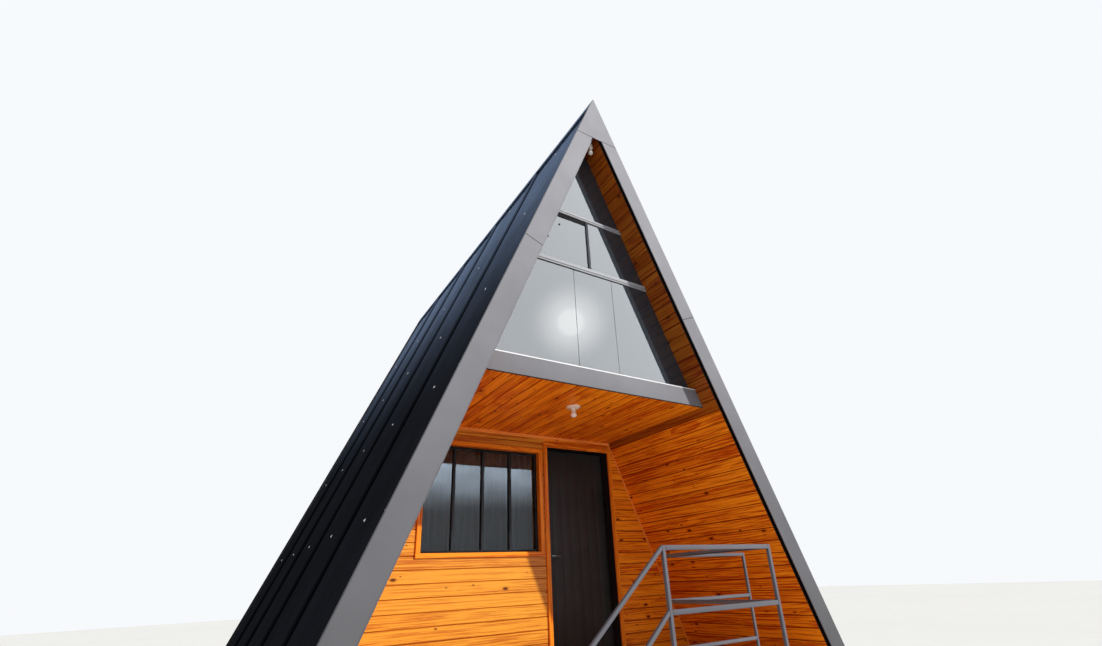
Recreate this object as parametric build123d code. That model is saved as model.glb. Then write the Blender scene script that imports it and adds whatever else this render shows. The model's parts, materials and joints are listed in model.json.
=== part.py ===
from build123d import *
import os
from math import sqrt

# A-frame cabin. X to the right, Y from the entrance into the depth, Z up from the ground.
# The origin is the middle of the whole footprint, at ground level.

# Main form, sizes in millimetres
apex_height = 6170
base_width = 5182
sheet_cover = 1135
sheet_count = 5
roof_length = sheet_cover * sheet_count
slope_run = base_width / 2 / apex_height
slant = sqrt(1 + slope_run**2)

# Layers of the roof, each a thickness square to the slope
flashing_t = 2
rib_height = 25
sheet_t = 1.5
lap_clearance = 0.3
purlin_depth = 30
rafter_depth = 110
lining_t = 15
lap_lift = sheet_t + lap_clearance
pan_face = flashing_t + rib_height + lap_lift
purlin_face = pan_face + sheet_t
rafter_face = purlin_face + purlin_depth
lining_back = rafter_face + rafter_depth
lining_face = lining_back + lining_t

# Roof sheets: high ribs where one sheet laps the next, low ribs between them
rib_count = 6
rib_base = 60
rib_crest = 30
low_rib_height = 3
low_rib_base = 44
low_rib_crest = 24
lap_flange = 15
first_rib = 35
sheet_foot = 40
ridge_cap_leg = 116
ridge_gap = 75

# Frame of the roof
rafter_count = 6
rafter_width = 50
purlin_width = 50
purlin_first = 203
purlin_step = 1006
purlin_foot = 20

# Fascia of folded sheet, and the plate over the apex
fascia_width = 167
fascia_flange = 40
fascia_hem = 8
apex_plate_drop = 572
lining_setback = 30

# Floor
riser_height = 180
riser_count = 4
floor_top = riser_height * riser_count
deck_t = 28
joist_height = 150
joist_width = 50
joist_count = 11
bearer_height = 150
bearer_width = 75
bearer_offset = 1500
pier_size = 200
pier_rows = 4
deck_under = floor_top - deck_t
joist_under = deck_under - joist_height
bearer_under = joist_under - bearer_height

# Storey over the porch and the room
ceiling_clear = 2240
ceiling_t = 15
loft_joist_height = 120
loft_deck_t = 25
ceiling_z = floor_top + ceiling_clear
loft_joist_z = ceiling_z + ceiling_t
loft_deck_z = loft_joist_z + loft_joist_height
loft_top = loft_deck_z + loft_deck_t

# Gable front: beam, bars, mullion and panes
beam_setback = 197
beam_depth = 60
beam_lip = 22
glass_gap = 4
glass_t = 6
bar_depth = 30
bar_height = 52
lower_bar_drop = 2044
upper_bar_height = 42
upper_bar_drop = 1444
vent_slot = 40
mullion_x = -28
mullion_width = 28
pane_seam_x = 216
pane_seam = 4

# Wall between porch and room
porch_depth = 1703
wall_t = 160
window_sill = 1062
window_head = 2047
window_side_gap = 198
window_frame_width = 24
window_frame_depth = 50
window_setback = 45
window_pane_count = 4
casing_width = 42
casing_t = 18
door_width = 813
door_head = 2120
door_side_gap = 85
door_window_gap = 105
jamb_t = 25
door_trim_width = 45
door_leaf_t = 40
door_gap = 5
door_foot_gap = 10
door_groove_count = 6
door_groove_width = 12
door_groove_depth = 4
handle_height = 1020
handle_inset = 70
rose_r = 24
rose_t = 8
stem_r = 9
stem_length = 35
lever_length = 110
lever_t = 10
lever_height = 20
crown_height = 30
strip_t = 12

# Hinges of the door, on the face of the wall towards the room
hinge_count = 3
hinge_end = 200
knuckle_r = 7.5
knuckle_height = 45
hinge_pin_r = 4
hinge_play = 0.08
hinge_lift = 0.3
hinge_plate_t = 3
hinge_plate_width = 24

# Curtain behind the window
curtain_t = 40
curtain_end_gap = 115
curtain_side = 40
curtain_drop = 1150
curtain_rod_r = 10
curtain_rod_height = 2140
curtain_wall_gap = 20

# Lamps
porch_lamp_x = -5
porch_lamp_setback = 702
lamp_base_r = 67
lamp_base_h = 22
lamp_neck_r = 20
lamp_neck_h = 28
lamp_bulb_r = 30
lamp_bulb_h = 52
lamp_shoulder = (0.9, 0.25)
lamp_belly_share = 0.5
lamp_tip = (0.8, 0.85)
apex_lamp_setback = 125
apex_lamp_r = 26
apex_lamp_h = 45

# Landing, stair and guard
tube = 20
rail_height = 25
guard_height = 930
guard_bar_heights = (615, 315)
landing_left_post = -598
landing_right_post = 247
landing_depth = 912
porch_end_post = 1117
landing_joist_height = 100
landing_leg = 80
stair_going = 212
tread_t = 40
stringer_t = 40
stringer_foot = 100
stringer_throat = 200
porch_clearance = 12

def slope_x(z, depth):
    """Half width at height z of the plane that lies depth inside the roof's outer face."""
    return slope_run * (apex_height - z) - depth * slant


def meeting_z(depth):
    """Height at which the planes of both slopes meet, depth inside the outer face."""
    return apex_height - depth * slant / slope_run


# Places in plan
front = (landing_depth - roof_length) / 2
rear = front + roof_length
middle = (front + rear) / 2
porch_wall_y = front + porch_depth
room_y = porch_wall_y + wall_t
door_right = slope_x(floor_top + door_head, lining_face) - door_side_gap
door_left = door_right - door_width
window_right = door_left - door_window_gap
window_left = window_side_gap - slope_x(floor_top + window_head, lining_face)


def on_slope(along, depth):
    """Point of the right slope, along it from the ridge and depth below its outer face."""
    x = (along * slope_run - depth) / slant
    z = apex_height - (along + depth * slope_run) / slant
    return (x, z)


def block(x0, x1, y0, y1, z0, z1):
    """Straight block between two corners."""
    return Pos(x0, y0, z0) * Box(x1 - x0, y1 - y0, z1 - z0, align=(Align.MIN, Align.MIN, Align.MIN))


def prism(outline, y0, y1):
    """Outline of X and Z points, drawn at y0 and carried on to y1."""
    wire = Polyline(*[(x, y0, z) for x, z in outline], close=True)
    return extrude(make_face(wire), amount=y1 - y0, dir=(0, 1, 0))


def slope_layer(outer, inner, y0, y1, foot, head=None):
    """Layer of the right slope between two depths, mitred at the ridge or cut level at head."""
    if head is None:
        top = [(0, meeting_z(inner)), (0, meeting_z(outer))]
    else:
        top = [(slope_x(head, inner), head), (slope_x(head, outer), head)]
    outline = top + [(slope_x(foot, outer), foot), (slope_x(foot, inner), foot)]
    return prism(outline, y0, y1)


def span(depth, z0, z1, y0, y1):
    """Slab from one slope to the other, its ends cut to the planes at depth."""
    x0 = slope_x(z0, depth)
    x1 = slope_x(z1, depth)
    return prism([(-x0, z0), (x0, z0), (x1, z1), (-x1, z1)], y0, y1)


def to_left(shape):
    """The same piece on the left side."""
    return mirror(shape, about=Plane.YZ)


def to_rear(shape):
    """The same piece at the rear gable."""
    return mirror(shape, about=Plane(origin=(0, middle, 0), z_dir=(0, 1, 0)))


def write(name, *solids):
    """One file for each named piece of the cabin."""
    shape = solids[0] if len(solids) == 1 else Compound(list(solids))
    export_step(shape, f"parts/{name}.step")


def spread(first, last, count):
    """Even places from first to last."""
    return [first + (last - first) * i / (count - 1) for i in range(count)]


# Ground: piers, bearers and joists
def floor_frame():
    y0 = front + lining_setback
    y1 = rear - beam_setback
    bearer_xs = (-bearer_offset, 0, bearer_offset)
    piers = []
    for x in bearer_xs:
        for y in spread(y0 + pier_size / 2, y1 - pier_size / 2, pier_rows):
            half = pier_size / 2
            piers.append(block(x - half, x + half, y - half, y + half, 0, bearer_under))
    write("piers", *piers)
    half = bearer_width / 2
    bearers = [block(x - half, x + half, y0, y1, bearer_under, joist_under) for x in bearer_xs]
    write("bearers", *bearers)
    joist_ys = spread(y0, y1 - joist_width, joist_count)
    joists = [span(lining_back, joist_under, deck_under, y, y + joist_width) for y in joist_ys]
    write("floor_joists", *joists)
    write("porch_deck", span(lining_back, deck_under, floor_top, front, porch_wall_y))
    write("room_floor", span(lining_back, deck_under, floor_top, porch_wall_y, rear - beam_setback))


# Roof frame: rafters in pairs that meet at the ridge, purlins across them
def rafter_places():
    return spread(front + lining_setback, rear - lining_setback - rafter_width, rafter_count)


def roof_frame():
    rafters = []
    for y in rafter_places():
        rafters.append(slope_layer(rafter_face, lining_back, y, y + rafter_width, 0))
    write("rafters_right", *rafters)
    write("rafters_left", *[to_left(rafter) for rafter in rafters])
    lowest = (apex_height - purlin_foot) * slant - rafter_face * slope_run - purlin_width / 2
    rows = []
    along = purlin_first * slant
    while along < lowest - purlin_width:
        rows.append(along)
        along += purlin_step * slant
    rows.append(lowest)
    purlins = []
    for along in rows:
        upper = along - purlin_width / 2
        lower = along + purlin_width / 2
        corners = [on_slope(upper, purlin_face), on_slope(lower, purlin_face)]
        corners += [on_slope(lower, rafter_face), on_slope(upper, rafter_face)]
        purlins.append(prism(corners, front + flashing_t, rear - flashing_t))
    write("purlins_right", *purlins)
    write("purlins_left", *[to_left(purlin) for purlin in purlins])


# Roof covering: ribbed sheets with a lapped rib at every joint
def sheet_outline(start):
    """Closed outline of one sheet, across the ribs and up from the face of its pan."""
    pitch = sheet_cover / rib_count
    foot = rib_base / 2
    crest = rib_crest / 2
    low_foot = low_rib_base / 2
    low_crest = low_rib_crest / 2
    top = [(start - crest, rib_height), (start + crest, rib_height), (start + foot, 0)]
    for i in range(1, rib_count):
        at = start + i * pitch
        top += [(at - low_foot, 0), (at - low_crest, low_rib_height)]
        top += [(at + low_crest, low_rib_height), (at + low_foot, 0)]
    lap = start + sheet_cover
    top += [(lap - foot, 0), (lap - crest, rib_height + lap_lift)]
    top += [(lap + crest, rib_height + lap_lift), (lap + foot, lap_lift)]
    top += [(lap + foot + lap_flange, lap_lift)]
    under = [(y, h - sheet_t) for y, h in reversed(top)]
    return top + under


def roof_covering():
    length = (apex_height - sheet_foot) * slant - purlin_face * slope_run - ridge_gap
    x, z = on_slope(ridge_gap, pan_face)
    down_slope = (slope_run, 0, -1)
    board = Plane(origin=(x, 0, z), x_dir=(0, 1, 0), z_dir=down_slope)
    between = block(0, base_width, front + flashing_t, rear - flashing_t, 0, apex_height)
    sheets = []
    for i in range(sheet_count):
        outline = sheet_outline(front + first_rib + i * sheet_cover)
        sheet = extrude(board * make_face(Polyline(*outline, close=True)), amount=length)
        if i == sheet_count - 1:
            sheet = sheet & between
        sheets.append(sheet)
    write("roof_sheets_right", *sheets)
    write("roof_sheets_left", *[to_left(sheet) for sheet in sheets])
    cap_foot = apex_height - ridge_cap_leg / slant
    leg = slope_layer(0, flashing_t, front + fascia_flange, rear - fascia_flange, cap_foot)
    write("ridge_cap", leg + to_left(leg))


# Fascia of folded sheet down each rake, with one plate over the apex
def fascias():
    head = apex_height - apex_plate_drop
    face = slope_layer(0, fascia_width, front, front + flashing_t, 0, head)
    flange = slope_layer(0, flashing_t, front, front + fascia_flange, 0, head)
    hem = slope_layer(fascia_width - flashing_t, fascia_width, front, front + fascia_hem, 0, head)
    board = face + flange + hem
    write("fascia_front_right", board)
    write("fascia_front_left", to_left(board))
    write("fascia_rear_right", to_rear(board))
    write("fascia_rear_left", to_rear(to_left(board)))
    wide = slope_x(head, 0)
    plate = prism([(0, apex_height), (wide, head), (-wide, head)], front, front + flashing_t)
    fold = slope_layer(0, flashing_t, front, front + fascia_flange, head)
    apex_plate = plate + fold + to_left(fold)
    write("apex_plate_front", apex_plate)
    write("apex_plate_rear", to_rear(apex_plate))


# Lining boards under both slopes, and the storey between them
def inside():
    y0 = front + lining_setback
    y1 = rear - lining_setback
    lining = slope_layer(lining_back, lining_face, y0, y1, floor_top)
    write("lining_right", lining)
    write("lining_left", to_left(lining))
    lip = beam_setback + beam_lip
    beam_back = beam_setback + beam_depth
    write("ceiling_boards", span(lining_face, ceiling_z, loft_joist_z, front + lip, rear - lip))
    joists = []
    for y in rafter_places()[1:-1]:
        joists.append(span(lining_face, loft_joist_z, loft_deck_z, y, y + rafter_width))
    write("loft_joists", *joists)
    write("loft_floor", span(lining_face, loft_deck_z, loft_top, front + beam_back, rear - beam_back))


# Gable front: beam over the porch, two bars with a mullion, and six panes
def gables():
    y0 = front + beam_setback
    beam = span(lining_face, ceiling_z, loft_top, y0, y0 + beam_depth)
    beam -= block(-base_width, base_width, y0 + beam_lip, y0 + beam_depth, ceiling_z, loft_joist_z)
    write("front_beam", beam)
    write("rear_beam", to_rear(beam))
    glass_y = y0 + beam_depth + glass_gap
    glass_back = glass_y + glass_t
    bar_y = (glass_y + glass_back - bar_depth) / 2
    lower_bar_z = apex_height - lower_bar_drop
    mid_row_z = lower_bar_z + bar_height
    upper_bar_z = apex_height - upper_bar_drop
    top_row_z = upper_bar_z + upper_bar_height
    half = mullion_width / 2
    bars = span(lining_face, lower_bar_z, mid_row_z, bar_y, bar_y + bar_depth)
    bars += span(lining_face, upper_bar_z, top_row_z, bar_y, bar_y + bar_depth)
    bars += block(mullion_x - half, mullion_x + half, bar_y, bar_y + bar_depth, mid_row_z, upper_bar_z)
    write("front_gable_bars", bars)
    write("rear_gable_bars", to_rear(bars))
    low = span(lining_face, loft_top, lower_bar_z, glass_y, glass_back)
    mid = span(lining_face, mid_row_z, upper_bar_z, glass_y, glass_back)
    seam = pane_seam / 2
    z1 = apex_height
    panes = [
        low & block(-base_width, -pane_seam_x - seam, glass_y, glass_back, 0, z1),
        low & block(-pane_seam_x + seam, pane_seam_x - seam, glass_y, glass_back, 0, z1),
        low & block(pane_seam_x + seam, base_width, glass_y, glass_back, 0, z1),
        mid & block(-base_width, mullion_x - half, glass_y, glass_back, 0, upper_bar_z - vent_slot),
        mid & block(mullion_x + half, base_width, glass_y, glass_back, 0, z1),
    ]
    wide = slope_x(top_row_z, lining_face)
    peak = meeting_z(lining_face)
    panes.append(prism([(-wide, top_row_z), (wide, top_row_z), (0, peak)], glass_y, glass_back))
    write("front_gable_glass", *panes)
    write("rear_gable_glass", *[to_rear(pane) for pane in panes])


# Wall between porch and room, and the plain wall at the rear
def walls():
    whole = span(lining_face, floor_top, ceiling_z, porch_wall_y, room_y)
    sill = floor_top + window_sill
    head = floor_top + window_head
    door_top = floor_top + door_head + jamb_t
    left_edge = door_left - jamb_t
    right_edge = door_right + jamb_t
    window_side = whole & block(-base_width, left_edge, porch_wall_y, room_y, 0, apex_height)
    window_side -= block(window_left, window_right, porch_wall_y, room_y, sill, head)
    write("porch_wall_window_side", window_side)
    over = whole & block(left_edge, right_edge, porch_wall_y, room_y, door_top, apex_height)
    write("porch_wall_over_door", over)
    beside = whole & block(right_edge, base_width, porch_wall_y, room_y, 0, apex_height)
    write("porch_wall_right", beside)
    y1 = rear - beam_setback
    write("rear_wall", span(lining_face, floor_top, ceiling_z, y1 - wall_t, y1))


def ring(x0, x1, y0, y1, z0, z1, width):
    """Rectangular frame around an opening, width wide and outside the given edges."""
    outer = block(x0 - width, x1 + width, y0, y1, z0 - width, z1 + width)
    return outer - block(x0, x1, y0, y1, z0, z1)


def window():
    sill = floor_top + window_sill
    head = floor_top + window_head
    w = window_frame_width
    y0 = porch_wall_y + window_setback
    y1 = y0 + window_frame_depth
    frame = ring(window_left + w, window_right - w, y0, y1, sill + w, head - w, w)
    pane_width = (window_right - window_left - w * (window_pane_count + 1)) / window_pane_count
    glass_y = (y0 + y1 - glass_t) / 2
    panes = []
    for i in range(window_pane_count):
        x0 = window_left + w + i * (pane_width + w)
        x1 = x0 + pane_width
        panes.append(block(x0, x1, glass_y, glass_y + glass_t, sill + w, head - w))
        if i < window_pane_count - 1:
            frame += block(x1, x1 + w, y0, y1, sill + w, head - w)
    write("window_frame", frame)
    write("window_panes", *panes)
    face = porch_wall_y - casing_t
    casing = ring(window_left, window_right, face, porch_wall_y, sill, head, casing_width)
    write("window_casing", casing)


def curtain():
    y = room_y + curtain_wall_gap + curtain_t / 2
    rod_z = floor_top + curtain_rod_height
    x0 = curtain_end_gap - slope_x(rod_z + curtain_rod_r, lining_face)
    x1 = window_right + curtain_side
    rod = Pos((x0 + x1) / 2, y, rod_z) * Rot(0, 90, 0) * Cylinder(curtain_rod_r, x1 - x0)
    for x in (x0, x1 - curtain_rod_r):
        rod += block(x, x + curtain_rod_r, room_y, y, rod_z - curtain_rod_r, rod_z + curtain_rod_r)
    write("curtain_rod", rod)
    top = rod_z - curtain_rod_r
    inset = 2 * curtain_rod_r
    half = curtain_t / 2
    cloth = block(x0 + inset, x1 - inset, y - half, y + half, top - curtain_drop, top)
    write("window_curtain", cloth)


def door():
    top = floor_top + door_head
    left_edge = door_left - jamb_t
    right_edge = door_right + jamb_t
    left_jamb = block(left_edge, door_left, porch_wall_y, room_y, floor_top, top)
    right_jamb = block(door_right, right_edge, porch_wall_y, room_y, floor_top, top)
    write("door_jambs", left_jamb, right_jamb)
    write("door_lintel", block(left_edge, right_edge, porch_wall_y, room_y, top, top + jamb_t))
    face = porch_wall_y - casing_t
    wide = door_trim_width
    trim = block(door_left - wide, door_right + wide, face, porch_wall_y, floor_top, top + wide)
    trim -= block(door_left, door_right, face, porch_wall_y, floor_top, top)
    write("door_trim", trim)
    x0 = door_left + door_gap
    x1 = door_right - door_gap
    y0 = room_y - door_leaf_t
    y1 = room_y
    leaf = block(x0, x1, y0, y1, floor_top + door_foot_gap, top - door_gap)
    pitch = (x1 - x0) / (door_groove_count + 1)
    for i in range(1, door_groove_count + 1):
        at = x0 + i * pitch
        half = door_groove_width / 2
        groove = [(at - half, y0), (at + half, y0), (at, y0 + door_groove_depth)]
        wire = Polyline(*[(x, y, floor_top) for x, y in groove], close=True)
        leaf -= extrude(make_face(wire), amount=door_head, dir=(0, 0, 1))
    write("door_leaf", leaf)
    outside = lever(x0 + handle_inset, y0)
    inside_face = mirror(outside, about=Plane(origin=(0, (y0 + y1) / 2, 0), z_dir=(0, 1, 0)))
    write("door_handle", outside, inside_face)


def lever(x, face):
    """Rose, stem and lever on the outer face of the leaf, pointing back over the leaf."""
    z = floor_top + handle_height
    reach = rose_t + stem_length
    rose = Pos(x, face - rose_t / 2, z) * Rot(90, 0, 0) * Cylinder(rose_r, rose_t)
    stem = Pos(x, face - reach / 2, z) * Rot(90, 0, 0) * Cylinder(stem_r, reach)
    half = lever_height / 2
    bar = block(x - half, x + lever_length, face - reach, face - reach + lever_t, z - half, z + half)
    return rose + stem + bar


def hinges():
    """Pins on the frame and knuckles on the leaf, both seated on the wall's inner face."""
    x = door_right - door_gap / 2
    y = room_y + knuckle_r + hinge_lift
    plate_y = room_y + hinge_plate_t
    pins = []
    knuckles = []
    for z in spread(floor_top + hinge_end, floor_top + door_head - hinge_end, hinge_count):
        low = z - knuckle_height
        barrel = Pos(x, y, z - knuckle_height / 2) * Cylinder(knuckle_r, knuckle_height)
        pin = Pos(x, y, z + knuckle_height / 2) * Cylinder(hinge_pin_r, knuckle_height)
        plate = block(x, door_right + hinge_plate_width, room_y, plate_y, low, z)
        pins.append(barrel + pin + plate)
        low = z + hinge_lift
        high = z + knuckle_height
        ring = Pos(x, y, (low + high) / 2) * Cylinder(knuckle_r, high - low)
        plate = block(x - hinge_plate_width, x, room_y, plate_y, low, high)
        bore = Pos(x, y, z + knuckle_height / 2) * Cylinder(hinge_pin_r + hinge_play, knuckle_height)
        knuckles.append(ring + plate - bore)
    write("hinge_pins", *pins)
    write("hinge_knuckles", *knuckles)


# Trim strips on the porch wall
def wall_trim():
    y0 = porch_wall_y - strip_t
    crown = span(lining_face, ceiling_z - crown_height, ceiling_z, y0, porch_wall_y)
    head = ceiling_z - crown_height - lap_clearance
    strip = slope_layer(lining_face, lining_face + strip_t, y0, porch_wall_y, floor_top, head)
    write("wall_trim", crown, strip, to_left(strip))


# Lamps under the porch ceiling and under the apex
def lamp(base_r, base_h, bulb_r):
    """Round base, neck and bulb, turned in one profile that hangs from the local origin."""
    low = -base_h - lamp_neck_h
    profile = [(0, 0), (base_r, 0), (base_r, -base_h), (lamp_neck_r, -base_h), (lamp_neck_r, low)]
    for wide, deep in (lamp_shoulder, (1, lamp_belly_share), lamp_tip, (0, 1)):
        profile.append((bulb_r * wide, low - lamp_bulb_h * deep))
    wire = Polyline(*[(r, 0, z) for r, z in profile], close=True)
    return revolve(make_face(wire), axis=Axis.Z)


def lamps():
    porch = lamp(lamp_base_r, lamp_base_h, lamp_bulb_r)
    write("porch_lamp", Pos(porch_lamp_x, front + porch_lamp_setback, ceiling_z) * porch)
    seat = apex_height - (apex_lamp_r + lining_face * slant) / slope_run - lap_clearance
    apex = lamp(apex_lamp_r, apex_lamp_h, apex_lamp_r)
    write("apex_lamp", Pos(0, front + apex_lamp_setback, seat) * apex)


# Landing in front of the porch, its stair and the guard of steel tube
def landing():
    x0 = landing_left_post - tube / 2
    x1 = landing_right_post + tube / 2
    y0 = front - landing_depth
    under = deck_under - landing_joist_height
    write("landing_deck", block(x0, x1, y0, front, deck_under, floor_top))
    joists = []
    for x in spread(x0, x1 - joist_width, 3):
        joists.append(block(x, x + joist_width, y0, front, under, deck_under))
    write("landing_joists", *joists)
    legs = []
    for x in (x0, x1 - landing_leg):
        for y in (y0, front - landing_leg):
            legs.append(block(x, x + landing_leg, y, y + landing_leg, 0, under))
    write("landing_legs", *legs)
    treads = []
    outline = [(x0, floor_top - riser_height - tread_t)]
    for i in range(1, riser_count):
        left = x0 - i * stair_going
        top = floor_top - i * riser_height
        treads.append(block(left, left + stair_going, y0, front - porch_clearance, top - tread_t, top))
        outline.append((left, top - tread_t))
        if i < riser_count - 1:
            outline.append((left, top - riser_height - tread_t))
    write("stair_treads", *treads)
    outline.append((left, 0))
    outline.append((left + stringer_foot, 0))
    outline.append((x0, floor_top - riser_height - tread_t - stringer_throat))
    stringers = []
    for y in (y0, front - porch_clearance - stringer_t):
        stringers.append(prism(outline, y, y + stringer_t))
    write("stair_stringers", *stringers)


def post(x, y, z0, z1):
    """Upright tube, centred in plan."""
    half = tube / 2
    return block(x - half, x + half, y - half, y + half, z0, z1)


def guard():
    half = tube / 2
    outer_y = front - landing_depth + half
    inner_y = front + half
    top = floor_top + guard_height
    fall = riser_height / stair_going
    newel_x = landing_left_post - half - (riser_count - 1) * stair_going + half
    newel_top = top - (landing_left_post - half - newel_x) * fall
    places = [(landing_left_post, outer_y), (landing_right_post, outer_y)]
    places += [(landing_right_post, inner_y), (porch_end_post, inner_y)]
    posts = [post(x, y, floor_top, top) for x, y in places]
    posts.append(post(newel_x, outer_y, riser_height, newel_top))
    write("guard_posts", *posts)
    rails = []
    for high in (top, *[floor_top + height + rail_height / 2 for height in guard_bar_heights]):
        z = high - rail_height
        x0 = landing_left_post + half
        x1 = landing_right_post - half
        rails.append(block(x0, x1, outer_y - half, outer_y + half, z, high))
        x0 = x1
        x1 = landing_right_post + half
        rails.append(block(x0, x1, outer_y + half, inner_y - half, z, high))
        rails.append(block(x1, porch_end_post - half, inner_y - half, inner_y + half, z, high))
        right = landing_left_post - half
        left = newel_x + half
        drop = (right - left) * fall
        raked = [(right, z), (right, high), (left, high - drop), (left, z - drop)]
        rails.append(prism(raked, outer_y - half, outer_y + half))
    write("guard_rails", *rails)


os.makedirs("parts", exist_ok=True)
floor_frame()
roof_frame()
roof_covering()
fascias()
inside()
gables()
walls()
window()
curtain()
door()
hinges()
wall_trim()
lamps()
landing()
guard()
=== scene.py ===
import json
import math
import random
import bmesh
import bpy
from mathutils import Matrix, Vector

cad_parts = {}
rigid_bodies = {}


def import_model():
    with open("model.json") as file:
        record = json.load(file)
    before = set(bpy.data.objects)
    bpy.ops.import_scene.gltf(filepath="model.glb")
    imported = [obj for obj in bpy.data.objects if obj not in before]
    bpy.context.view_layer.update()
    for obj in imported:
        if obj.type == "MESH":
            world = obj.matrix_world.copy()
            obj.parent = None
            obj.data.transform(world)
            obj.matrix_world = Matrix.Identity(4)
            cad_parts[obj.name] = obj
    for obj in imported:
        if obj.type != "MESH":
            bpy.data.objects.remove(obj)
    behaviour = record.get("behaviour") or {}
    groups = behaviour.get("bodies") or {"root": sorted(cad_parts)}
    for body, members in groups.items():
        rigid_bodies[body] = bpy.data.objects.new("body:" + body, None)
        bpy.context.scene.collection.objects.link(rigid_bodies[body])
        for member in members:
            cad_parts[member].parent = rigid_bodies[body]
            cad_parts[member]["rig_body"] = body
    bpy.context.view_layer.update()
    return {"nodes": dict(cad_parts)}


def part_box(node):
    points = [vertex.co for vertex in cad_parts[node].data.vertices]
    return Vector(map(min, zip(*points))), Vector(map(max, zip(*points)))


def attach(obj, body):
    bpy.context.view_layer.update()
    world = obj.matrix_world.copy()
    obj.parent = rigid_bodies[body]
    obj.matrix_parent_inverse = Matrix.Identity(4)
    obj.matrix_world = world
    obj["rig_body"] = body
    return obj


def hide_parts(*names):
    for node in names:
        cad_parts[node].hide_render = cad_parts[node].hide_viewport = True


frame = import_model()
cadNodes = frame["nodes"]
print("frame loaded,", len(cadNodes), "nodes")

# lines of the roof, read off the frame
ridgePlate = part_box("apex_plate_front")
apexZ = ridgePlate[1].z
frontY = ridgePlate[0].y
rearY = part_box("apex_plate_rear")[1].y
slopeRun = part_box("fascia_front_right")[1].x / apexZ
slant = math.hypot(1, slopeRun)
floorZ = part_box("porch_deck")[1].z
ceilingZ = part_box("ceiling_boards")[0].z
# roof sheets: the width that each one covers, where the first one starts, and how deep their flats lie
roofSheet = {"cover": 1.135, "first": 0.035, "pan": 0.0288}


def slopeX(z, depth):
    return slopeRun * (apexZ - z) - depth * slant


def depthOf(node):  # depth of the plane that a node's ends are cut to, inside the roof's outer face
    low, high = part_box(node)
    return (slopeRun * (apexZ - low.z) - high.x) / slant


liningFace = depthOf("ceiling_boards")
liningBack = depthOf("floor_joists")


def leftSlope(z):
    return -slopeX(z, liningFace)


def rightSlope(z):
    return slopeX(z, liningFace)


def slopeAxes(side):  # down the slope, and square to it into the cabin
    return Vector((side * slopeRun, 0, -1)) / slant, Vector((-side, 0, -slopeRun)) / slant


# camera
view = {
    "place": (-2.5767, -5.4161, 1.5015),
    "turn": (113.6977, 2.6373, -32.2377),
    "lens": 16.902,
    "shift": (-0.00869, 0.02853),
    "sensor": 36,
    "far": 200,
}


def setCamera():
    data = bpy.data.cameras.new("camera")
    data.sensor_width = view["sensor"]
    data.lens = view["lens"]
    data.shift_x, data.shift_y = view["shift"]
    data.clip_end = view["far"]
    camera = bpy.data.objects.new("camera", data)
    camera.location = view["place"]
    camera.rotation_euler = [math.radians(angle) for angle in view["turn"]]
    bpy.context.scene.collection.objects.link(camera)
    bpy.context.scene.camera = camera


# small helpers for node trees
def setInputs(node, inputs):
    for key, value in inputs.items():
        if isinstance(value, bpy.types.NodeSocket):
            node.id_data.links.new(value, node.inputs[key])
        else:
            node.inputs[key].default_value = value


def addNode(tree, kind, inputs=None, **settings):
    made = tree.nodes.new(kind)
    for key, value in settings.items():
        setattr(made, key, value)
    setInputs(made, inputs or {})
    return made


def calc(tree, operation, *values):
    return addNode(tree, "ShaderNodeMath", dict(enumerate(values)), operation=operation).outputs[0]


def times(tree, first, second):
    return calc(tree, "MULTIPLY", first, second)


def timesPlus(tree, first, second, third):
    return calc(tree, "MULTIPLY_ADD", first, second, third)


def split(tree, vector):
    return addNode(tree, "ShaderNodeSeparateXYZ", {0: vector}).outputs


def stretch(tree, vector, scale, shift=(0, 0, 0)):
    inputs = {"Vector": vector, "Scale": scale, "Location": shift}
    return addNode(tree, "ShaderNodeMapping", inputs).outputs[0]


def noise(tree, vector, scale, detail=2, roughness=0.5):
    inputs = {"Vector": vector, "Scale": scale, "Detail": detail, "Roughness": roughness}
    return addNode(tree, "ShaderNodeTexNoise", inputs).outputs["Fac"]


def ranged(tree, value, low, high, newLow=0, newHigh=1):
    inputs = {"Value": value, "From Min": low, "From Max": high, "To Min": newLow, "To Max": newHigh}
    return addNode(tree, "ShaderNodeMapRange", inputs, interpolation_type="SMOOTHSTEP").outputs[0]


def mixColour(tree, share, first, second, way="MIX"):
    inputs = {0: share, 6: first, 7: second}
    return addNode(tree, "ShaderNodeMix", inputs, data_type="RGBA", blend_type=way).outputs[2]


def tinted(tree, colour, tint):
    return mixColour(tree, 1.0, colour, tint, "MULTIPLY")


def attribute(tree, name, output):
    return addNode(tree, "ShaderNodeAttribute", attribute_name=name).outputs[output]


def atPoint(tree):  # place on the cabin in metres, which goes with the body at every pose
    return addNode(tree, "ShaderNodeTexCoord").outputs["Object"]


def setBump(tree, shader, height, strength, distance):
    bump = addNode(tree, "ShaderNodeBump", {"Height": height, "Strength": strength, "Distance": distance})
    setInputs(shader, {"Normal": bump.outputs["Normal"]})


def rgba(colour):
    return (*colour, 1)


def grey(level):
    return (level, level, level, 1)


def shaded(colour, share):
    return rgba([min(1, part * share) for part in colour])


def newMaterial(name):
    material = bpy.data.materials.new(name)
    material.use_nodes = True
    tree = material.node_tree
    return material, tree, tree.nodes["Principled BSDF"]


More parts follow.
